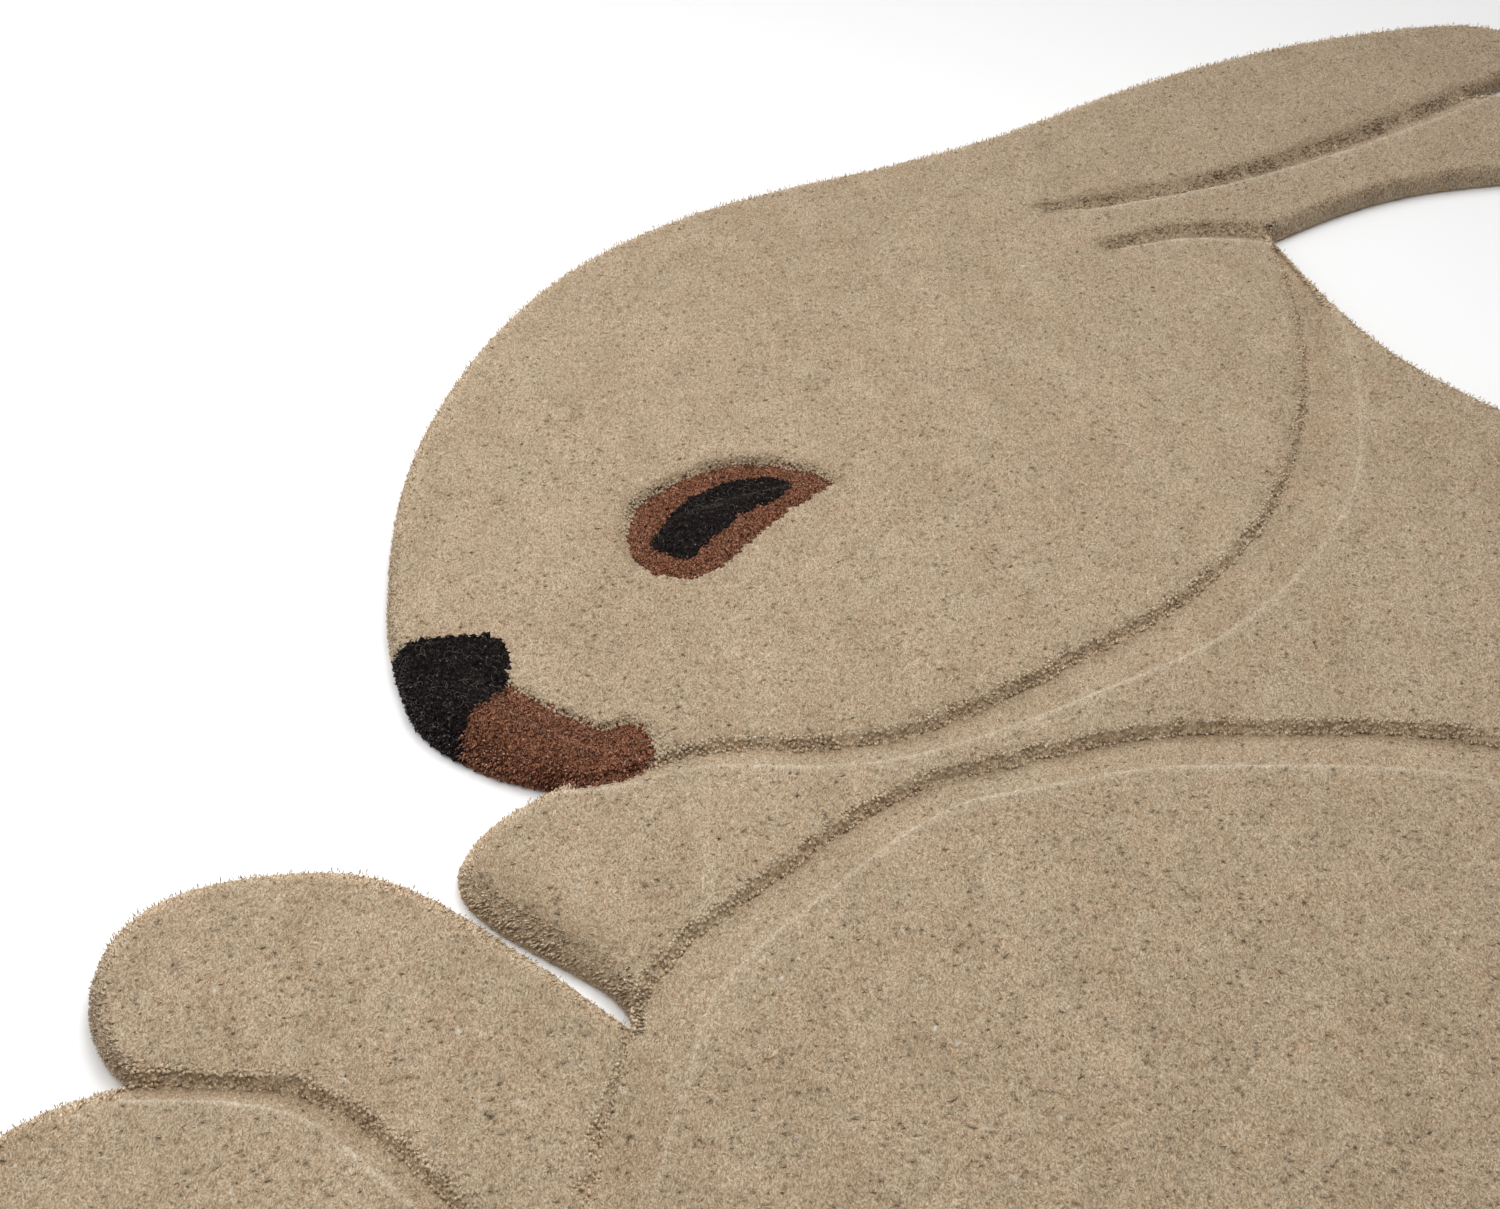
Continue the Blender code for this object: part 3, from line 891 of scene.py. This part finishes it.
def cut_pile_wool(name, yarn, shade, pale, cast, glint, lustre, gap, contrast, fuzz, sheen):
    """Woollen yarn, heathered in the spinning, tufted and sheared: dull ends of many fibres that
    scatter light, with painted shade between the tufts and a soft bloom of fibres on top."""
    material, tree = new_material(name)
    flat = add(tree, "TexCoord").outputs["Object"]
    end, tuft, tone, stray, crest_highlight = (
        add(tree, "Attribute", attribute_name=key).outputs["Fac"]
        for key in ("end", "tuft", "tone", "stray", "crest_highlight"))
    # yarns are drawn out along the nap
    place = scaled(tree, turned(tree, flat, -NAP), (1.2, 0.72, 0.95))
    # every tuft's fibres lie their own way
    tufts = add(tree, "TexVoronoi", {"Vector": place, "Scale": per_mm(2.7)})
    own = split(tree, tufts.outputs["Color"])[0]
    spun = turned(tree, place, calc(tree, "MULTIPLY", own, 2 * math.pi))
    wisp = noise(tree, scaled(tree, spun, (1.0, 0.4, 0.6)), 0.74, 2.0, 0.6).outputs["Fac"]
    bright = noise(tree, scaled(tree, spun, (0.42, 1.0, 0.6)), 0.74, 1.0).outputs["Fac"]
    fibre = noise(tree, place, 0.8, 2.0, 0.7).outputs["Fac"]
    # the spinning mixes light and dark wool, and the dye lots drift
    heather = noise(tree, place, 4.0, 3.0, 0.65).outputs["Fac"]
    lots = split(tree, noise(tree, place, 26.0, 4.0, 0.6).outputs["Color"])
    strand = span(tree, wisp, (0.5 - contrast, 0.5 + contrast), (0.0, 1.0))
    dye = blend(tree, strand, linear(shade), linear(pale))
    dyed = blend(tree, span(tree, tuft, (0.0, 1.0), (0.0, 0.45)), dye, linear(yarn))
    warm = calc(tree, "ADD", span(tree, heather, (0.38, 0.62), (0.0, 0.35)),
                span(tree, lots[1], (0.36, 0.64), (0.0, 0.65)))
    toned = blend(tree, warm, dyed, cast, "MULTIPLY")
    # cut ends catch the light as painted glints, and a painted highlight makes a ramp's crest
    # pale
    shine = span(tree, bright, (0.56, 0.74), (0.0, lustre))
    shine = calc(tree, "MAXIMUM", calc(tree, "MULTIPLY", shine, end, clamp=True),
                 span(tree, crest_highlight, (0.0, 1.0), (0.0, 0.4)))
    wispy = blend(tree, shine, toned, linear(glint))
    # painted shade: a yarn's root lies in its own shade, and small dark pits show where four
    # tufts part
    light = span(tree, tone, (0.0, 1.0), (1.0, 1.0 + TONE_STEP), clamp=False)
    level = span(tree, end, (0.0, 1.0), (gap, 1.0), clamp=False)
    for part in (span(tree, fibre, (0.36, 0.64), fuzz),
                 span(tree, bright, (0.28, 0.36), (0.84, 1.0)),
                 span(tree, lots[0], (0.36, 0.7), (0.92, 1.09)),
                 calc(tree, "MINIMUM", light, 1.0)):
        level = calc(tree, "MULTIPLY", level, part)
    # light that has passed between the fibres is redder, so shade deepens the colour
    tinted = add(tree, "CombineXYZ", {axis: calc(tree, "POWER", level, power)
                                      for axis, power in enumerate((0.88, 1.0, 1.17))})
    tinted = add(tree, "VectorMath", {0: tinted.outputs[0],
                                      "Scale": calc(tree, "MAXIMUM", light, 1.0)},
                 operation="SCALE")
    finish = scaled(tree, wispy, tinted.outputs[0])
    # a stray tuft is more dark or pale the further its reading lies from a half
    fleck = blend(tree, stray, linear("#5A4A3C"), linear("#F2E8D6"))
    odd = calc(tree, "ABSOLUTE", calc(tree, "SUBTRACT", stray, 0.5))
    seen = blend(tree, calc(tree, "MULTIPLY", odd, 2.0, clamp=True), finish, fleck)
    nub = add(tree, "Bump", {"Height": calc(tree, "ADD", wisp, fibre), "Strength": 0.7,
                             "Distance": 0.0008})
    shader = add(tree, "BsdfPrincipled", {
        "Base Color": seen, "Roughness": 0.92, "IOR": 1.54, "Specular IOR Level": 0.08,
        "Sheen Weight": sheen, "Sheen Roughness": 0.5, "Normal": nub.outputs["Normal"]})
    add(tree, "OutputMaterial", {"Surface": shader.outputs[0]})
    return material


def stray_fibre():
    """Single undyed fibres that shearing left lying on the pile: thin, pale, a little
    glossy along their length."""
    material, tree = new_material("undyed_wool_fibre")
    place = add(tree, "TexCoord").outputs["Object"]
    drift = noise(tree, place, 3.0).outputs["Fac"]
    shader = add(tree, "BsdfPrincipled", {
        "Base Color": blend(tree, drift, linear("#403D3B"), linear("#8E887F")),
        "Roughness": 0.55, "IOR": 1.54})
    add(tree, "OutputMaterial", {"Surface": shader.outputs[0]})
    return material


def backing_canvas():
    """Plain-woven cotton canvas, latexed to the foundation: an even matt grid of threads."""
    material, tree = new_material("backing_canvas_woven")
    place = add(tree, "TexCoord").outputs["Object"]
    warp, weft = (
        add(tree, "TexWave", {"Vector": place, "Scale": per_mm(1.6) / (2 * math.pi) * 2,
                              "Distortion": 0.6, "Detail": 1.0},
            bands_direction=way).outputs["Fac"] for way in ("X", "Y"))
    weave = calc(tree, "MAXIMUM", warp, weft)
    nub = add(tree, "Bump", {"Height": weave, "Strength": 0.7, "Distance": 0.0005})
    shader = add(tree, "BsdfPrincipled", {
        "Base Color": blend(tree, weave, linear("#8F8570"), linear("#CFC6B2")),
        "Roughness": 0.9, "IOR": 1.5, "Specular IOR Level": 0.2,
        "Normal": nub.outputs["Normal"]})
    add(tree, "OutputMaterial", {"Surface": shader.outputs[0]})
    return material


def studio_paper():
    """Seamless white background paper: flat, without gloss."""
    material, tree = new_material("studio_paper_matt")
    shader = add(tree, "BsdfPrincipled", {
        "Base Color": linear("#FCFCFC"), "Roughness": 1.0, "Specular IOR Level": 0.0})
    add(tree, "OutputMaterial", {"Surface": shader.outputs[0]})
    return material


BEIGE = cut_pile_wool("beige_wool_cut_pile", yarn="#BDAC91", shade="#94785A",
                      pale="#D0C2A8", cast=(1.03, 0.97, 0.95, 1.0), glint="#DCD3C2",
                      lustre=0.48, gap=0.9, contrast=0.14, fuzz=(0.77, 1.23), sheen=0.14)
BROWN = cut_pile_wool("brown_wool_cut_pile", yarn="#7F543F", shade="#361709",
                      pale="#AE7B60", cast=(1.06, 0.95, 0.92, 1.0), glint="#C49E87",
                      lustre=0.85, gap=0.55, contrast=0.07, fuzz=(0.22, 1.8), sheen=0.04)
BLACK = cut_pile_wool("black_wool_cut_pile", yarn="#0E0B0B", shade="#020202",
                      pale="#332C2C", cast=(1.03, 0.98, 0.98, 1.0), glint="#857C79",
                      lustre=0.9, gap=0.45, contrast=0.06, fuzz=(0.2, 1.9), sheen=0.01)
FIBRE = stray_fibre()
YARN_OF = {"nose": ("black", BLACK), "pupil": ("black", BLACK),
           "mouth": ("brown", BROWN), "eye": ("brown", BROWN)}


def finish_piece(piece):
    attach(piece, "root")
    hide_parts("tufted_rug")


# ---------------------------------------------------------------- building

points, triangles, ends, reading = work_pile()
names = label(points[:, :2])
dyed = np.isin(names, list(YARN_OF))
reading["stray"][dyed] = 0.5
reading["tone"][names == "mouth"] += MOUTH_TONE
leader = triangles[np.arange(len(triangles)), np.argmax(ends[triangles], axis=1)]
of_triangle = names[leader]
for name in sorted(set(of_triangle)):
    colour, material = YARN_OF.get(name, ("beige", BEIGE))
    piece = mesh_piece(name + "_pile", points, triangles[of_triangle == name], reading, material)
    finish_piece(piece)


def fan_out(out, tilt, random):
    """Unit ways that lean out by the tilt, each a little its own way."""
    way = np.column_stack([out * np.cos(tilt)[:, None], np.sin(tilt)])
    way += random.normal(0.0, 0.16, way.shape)
    return way / np.linalg.norm(way, axis=1)[:, None]


def seated(tip, slack):
    """Whether the pile's surface is really at these places, and not another form's."""
    pile = read_pile(tip[:, :2])
    return abs(pile["height"] - tip[:, 2]) < slack


def side_section(share):
    """The pile's side at shares along the outline, from the belly up: how far in it is, how
    high, and the way gone up it."""
    width, slant = edge_width(share)
    inset = width[:, None] * np.linspace(0.0, 1.0, 70)[None] ** 2
    height = RUG_THICKNESS - edge_drop(inset, width[:, None], slant[:, None])
    gone = np.hypot(np.diff(inset, axis=1), np.diff(height, axis=1)).cumsum(1)
    return width, slant, inset, height, np.hstack([np.zeros((len(share), 1)), gone])


def rim_tufts():
    """Strands in rows on the pile's side, from the floor up to the end of its round, combed
    down and along the way round the rug, with short bristles round the top of the side."""
    random = np.random.default_rng(41)
    run, heading, share = closed_run(OUTLINE, STRAND_STEP)
    width, slant, inset, height, gone = side_section(share)
    out = -rightward(heading)
    pale = lit_side(heading)
    ahead = level_way(heading)
    step = STRAND_STEP * 0.87
    made = []
    for k in range(-2, int(gone.max() / step)):
        shake = random.uniform(-0.6, 0.6, (len(run), 2))
        along = (k % 2) / 2 * STRAND_STEP + shake[:, 0]
        arc = k * step + shake[:, 1]
        keep = arc < gone[:, -1] * 0.96
        place = run + rightward(heading + math.pi / 2) * along[:, None]
        at = [np.interp(max(a, 0.0), g, i) for a, g, i in zip(arc, gone, inset)]
        up = [np.interp(max(a, 0.0), g, h) for a, g, h in zip(arc, gone, height)]
        at, up = np.array(at), np.array(up) + np.minimum(arc, 0.0)
        # below the belly the side draws in again
        at = at + np.interp(up, (0.0, 1.1, 2.7, PILE_BELLY), (FOOT_INSET, 0.6, 0.15, 0.0))
        tip = np.column_stack([place - out * at[:, None], up])
        keep &= seated(tip, 1.6) | (arc < 1.0)
        # the side's own slope, and how the strands lie down along it
        slope = np.radians(np.clip(6.0 + 76.0 * np.minimum(at / width, 1.0) ** 0.6, 6.0, 82.0))
        face = np.column_stack([out * np.cos(slope)[:, None], np.sin(slope)])
        down = np.column_stack([out * np.sin(slope)[:, None], -np.cos(slope)])
        sweep = np.radians(random.normal(48.0, 16.0, len(run)))[:, None]
        lie = np.radians(random.normal(54.0, 9.0, len(run)))[:, None]
        way = (face * np.cos(lie)
               + (down * np.cos(sweep) + ahead * np.sin(sweep)) * np.sin(lie))
        made.append((tip[keep], way[keep], slant[keep, None], pale[keep, None]))
    tip, way, slant, pale = (np.vstack(part) for part in zip(*made))
    count = len(tip)
    tip = tip + way * (random.uniform(-0.3, 0.8, (count, 1)) - 0.5 * slant)
    root = tip - way * random.uniform(*STRAND_LENGTH, (count, 1))
    root[:, 2] = np.maximum(root[:, 2], 1.0)
    # painted light on the slanted side and on sides that face +Y or sideways; the rest differs
    # at random between strands
    tone = random.normal(0.0, 0.5, count) + SLANT_LIGHT_AND_SHADE["strands"] * slant[:, 0]
    tone += SIDE_LIGHT_TONE["strands"] * pale[:, 0]
    pick = np.flatnonzero(tip[:, 2] > RUG_THICKNESS - 4.0)
    pick = random.choice(pick, int(0.7 * len(pick)), replace=False)
    up = way[pick] * 0.3 + random.normal(0.0, 0.3, (len(pick), 3)) + [0.0, 0.0, 0.9]
    length = random.uniform(*BRISTLE_LENGTH, (len(pick), 1)) * (1.0 + 0.8 * pale[pick])
    end = tip[pick] + up * length
    root = np.vstack([root, end - up * 2.2])
    tip = np.vstack([tip, end])
    tone = np.concatenate([tone, tone[pick] + 0.4])
    width = np.concatenate([random.uniform(*STRAND_WIDTH, count),
                            random.uniform(*BRISTLE_WIDTH, len(pick))])
    return root, tip, width, STRAND_RINGS, tone, random


def wall_tufts():
    """Tufts in rows on the carved walls, the lowest row hanging out over the ramp."""
    random = np.random.default_rng(43)
    made = []
    for name in CARVED_LINES:
        run, heading, _ = rounded_run(CARVED_LINES[name], TUFT_STEP * 0.9)
        _, depth = cut_at(name, nearest_on(LINES[name][0], run)[2])
        out = rightward(heading)
        wide = WIDE_WALLS.get(name, WALL_WIDTH)
        for k, back in enumerate(TUFT_ROWS if wide == WALL_WIDTH else WIDE_TUFT_ROWS):
            shake = random.uniform(-0.6, 0.6, (len(run), 2))
            far = back + shake[:, 0] * 0.9
            place = run + rightward(heading + math.pi / 2) * ((k % 2) + shake[:, 1])[:, None]
            share = wall_share(np.maximum(far, 0.35), wide)
            tip = np.column_stack([place + out * (wobble(place) - far)[:, None],
                                   RUG_THICKNESS - depth * share])
            tilt = np.radians(36.0 + 20.0 * back / wide + random.normal(0, 9, len(run)))
            keep = (depth > 1.0) & seated(tip, 2.6)
            way = fan_out(out, tilt, random)
            # painted light on a wall's tufts, more towards its foot; the walls in WALL_TONE get
            # painted shade instead
            tone = 1.2 * share
            if name in WALL_TONE:
                tone = np.full(len(run), WALL_TONE[name] + 0.7 * (back > 6.0))
            made.append((tip[keep], way[keep], tone[keep, None]))
    tip, way, tone = (np.vstack(part) for part in zip(*made))
    count = len(tip)
    tip = tip + way * random.uniform(-0.3, 0.5, (count, 1))
    root = tip - way * random.uniform(*TUFT_LENGTH, (count, 1))
    # where a wall is in deep shade, its tufts differ more
    spread = np.where(tone[:, 0] < -2.0, 0.9, 0.3)
    tone = tone[:, 0] + random.normal(0.0, 1.0, count) * spread
    return root, tip, random.uniform(*TUFT_WIDTH, count), TUFT_RINGS, tone, random


def loose_ends():
    """Wisps of fibre that stand a little proud of the sheared field."""
    random = np.random.default_rng(47)
    pick = np.union1d(random.choice(np.flatnonzero(ends), WISPS, replace=False),
                      np.flatnonzero(ends & dyed))
    count = len(pick)
    base = points[pick]
    tilt = np.radians(random.uniform(5, 42, count))
    turn = random.uniform(0, 2 * math.pi, count)
    combed = names[pick] == "mouth"
    turn[combed] = MOUTH_COMB + random.normal(0.0, 0.35, combed.sum())
    way = np.column_stack([np.cos(tilt) * np.cos(turn), np.cos(tilt) * np.sin(turn),
                           np.sin(tilt)])
    root = base - way * random.uniform(0.6, 1.4, (count, 1)) - [0, 0, 0.25]
    tip = base + way * random.uniform(0.7, 1.7, (count, 1))
    tone = random.normal(0.0, 0.5, count)
    width = random.uniform(*WISP_WIDTH, count) * np.where(dyed[pick], 1.5, 1.0)
    return root, tip, width, WISP_RINGS, tone, random


def yarn_pieces(kind, made, levels, tones, painted_lights):
    """Yarns parted by colour, one piece each.  How far each ring is an end, and how light it is,
    run from root to tip, painting shade at the root; a painted light makes one colour lighter as
    a whole."""
    roots, tips, width, rings, tone, random = made
    where = label(roots[:, :2])
    colour = np.array([YARN_OF.get(n, ("beige", 0))[0] for n in where])
    low, light = ([row[0]] + [v for v in row[1:-1] for _ in range(3)] + [row[-1]]
                  for row in (levels, tones))
    tone = tone + MOUTH_TONE * (where == "mouth")
    for (shade, material), lift in zip((("beige", BEIGE), ("brown", BROWN),
                                        ("black", BLACK)), painted_lights):
        take = colour == shade
        if take.any():
            place, faces = yarns(roots[take], tips[take], width[take], rings, random)
            count = int(take.sum())
            read = {"end": np.tile(low, count),
                    "tuft": np.repeat(random.uniform(0, 1, count), len(low)),
                    "tone": (tone[take][:, None] + np.array(light)[None] + lift).ravel(),
                    "stray": np.full(count * len(low), 0.5),
                    "crest_highlight": np.zeros(count * len(low))}
            piece = mesh_piece(shade + "_" + kind, place, faces, read, material)
            finish_piece(piece)


# painted light lifts each colour of the side's strands and of the loose ends
yarn_pieces("rim_tufts", rim_tufts(), levels=(0.0, 0.9, 1.0), tones=(-2.0, 0.1, 0.4),
            painted_lights=(0.4, 1.4, 2.8))
yarn_pieces("wall_tufts", wall_tufts(), levels=(0.7, 0.8, 0.9, 0.9),
            tones=(0.8, 1.1, 1.2, 0.9), painted_lights=(0.0, 0.0, 0.0))
yarn_pieces("loose_ends", loose_ends(), levels=(0.0, 0.9, 1.0), tones=(-0.5, 0.2, 0.5),
            painted_lights=(0.7, 0.3, 0.3))


def stray_fibres():
    """Single curled fibres that lie over the dark fields."""
    steps = 9
    random = np.random.default_rng(53)
    tree = search_tree(points[:, :2])
    place, faces = [], []
    for field, count in (("pupil", 40), ("eye", 12), ("nose", 90), ("mouth", 30)):
        ring = closed_run(YARN_FIELDS[field], 3.0)[0][:-1]
        low, high = ring.min(0), ring.max(0)
        while count:
            start = random.uniform(low, high)
            length = random.uniform(2.0, 8.0)
            bend = random.uniform(-3.6, 3.6) / steps
            heading = random.uniform(0, 2 * math.pi) + np.arange(steps) * bend
            step = np.column_stack([np.cos(heading), np.sin(heading)]) * length / steps
            track = start + step.cumsum(0)
            if label(start[None])[0] != field or not inside(track, COARSE_RIM).all():
                continue
            count -= 1
            lift = 0.35 + random.uniform(0.2, 1.2) * np.sin(np.linspace(0, math.pi, steps))
            ground = [points[tree.find((x, y, 0.0))[1], 2] for x, y in track.tolist()]
            ground = np.convolve(np.pad(ground, 2, mode="edge"), np.ones(5) / 5, "valid")
            centre = np.column_stack([track, ground + lift])
            side = np.column_stack([-np.sin(heading), np.cos(heading), np.zeros(steps)])
            base = sum(len(part) for part in place)
            for k in range(3):
                turn = k * 2 * math.pi / 3
                place.append(centre + (side * math.cos(turn)
                                       + np.array([0, 0, math.sin(turn)])) * FIBRE_HALF)
            for i in range(steps - 1):
                for k in range(3):
                    a, b = base + k * steps + i, base + (k + 1) % 3 * steps + i
                    faces += [(a, b, a + 1), (b, b + 1, a + 1)]
            first, last = ([base + k * steps + i for k in range(3)] for i in (0, steps - 1))
            faces += [tuple(first[::-1]), tuple(last)]
    return mesh_piece("stray_fibres", np.vstack(place), np.array(faces), {}, FIBRE)


finish_piece(stray_fibres())


def backing():
    """The foundation cloth under the pile, a thin slab."""
    run, heading, _ = closed_run(OUTLINE, 7.0)
    ring = (run + rightward(heading) * BACKING_INSET)[:-1]
    flat, _, faces = triangulate(ring, len(ring))
    count = len(flat)
    sides = [pair for a, b, c in faces.tolist() for pair in ((a, b), (b, c), (c, a))]
    known = set(sides)
    wall = []
    for a, b in sides:
        if (b, a) not in known:
            wall += [(b, a, a + count), (b, a + count, b + count)]
    place = np.vstack([np.column_stack([flat, np.full(count, height)])
                       for height in (BACKING_THICKNESS, 0.0)])
    every = np.vstack([faces, faces[:, ::-1] + count, np.array(wall)])
    return mesh_piece("backing_cloth", place, every, {}, backing_canvas())


cloth = backing()
finish_piece(cloth)


# ---------------------------------------------------------------- studio

def hang(lamp, place, aim):
    item = bpy.data.objects.new(lamp.name, lamp)
    item.location = place
    item.rotation_euler = (Vector(aim) - Vector(place)).to_track_quat("-Z", "Y").to_euler()
    bpy.context.scene.collection.objects.link(item)


def studio():
    mesh = bpy.data.meshes.new("studio_floor")
    mesh.from_pydata([(-6, -6, 0), (6, -6, 0), (6, 6, 0), (-6, 6, 0)], [], [(0, 1, 2, 3)])
    mesh.materials.append(studio_paper())
    floor = bpy.data.objects.new("studio_floor", mesh)
    floor.location.z = -0.0002
    bpy.context.scene.collection.objects.link(floor)
    for name, watts, size, place, aim in (
            ("softbox_over_head", 4.9, 0.9, (-0.42, -0.12, 0.85), (-0.42, -0.12, 0.0)),
            ("softbox_over_back", 1.4, 1.0, (0.1, 0.6, 1.1), (0.1, 0.6, 0.0)),
            ("side_window", 11.0, 1.4, (-1.8, 0.1, 0.9), (-0.2, 0.0, 0.0))):
        lamp = bpy.data.lights.new(name, "AREA")
        lamp.energy, lamp.size = watts, size
        hang(lamp, place, aim)
    sky = bpy.data.lights.new("back_window", "SUN")
    sky.energy, sky.angle = 1.1, math.radians(32.0)
    hang(sky, (0.35, 1.1, 1.35), (0.0, 0.0, 0.0))
    world = bpy.data.worlds.new("studio_walls")
    world.use_nodes = True
    world.node_tree.nodes["Background"].inputs["Color"].default_value = (1, 1, 1, 1)
    world.node_tree.nodes["Background"].inputs["Strength"].default_value = 0.25
    bpy.context.scene.world = world


CAMERA_PLACE = (-0.126672, -0.800276, 0.655365)


def camera():
    lens = bpy.data.cameras.new("camera")
    lens.lens, lens.sensor_width = 48.0, 36.0
    item = bpy.data.objects.new("camera", lens)
    item.location = CAMERA_PLACE
    item.rotation_euler = (math.radians(48.0), 0.0, math.radians(12.0))
    bpy.context.scene.collection.objects.link(item)
    bpy.context.scene.camera = item


studio()
camera()
bpy.context.scene.view_settings.view_transform = "Standard"
bpy.context.view_layer.update()
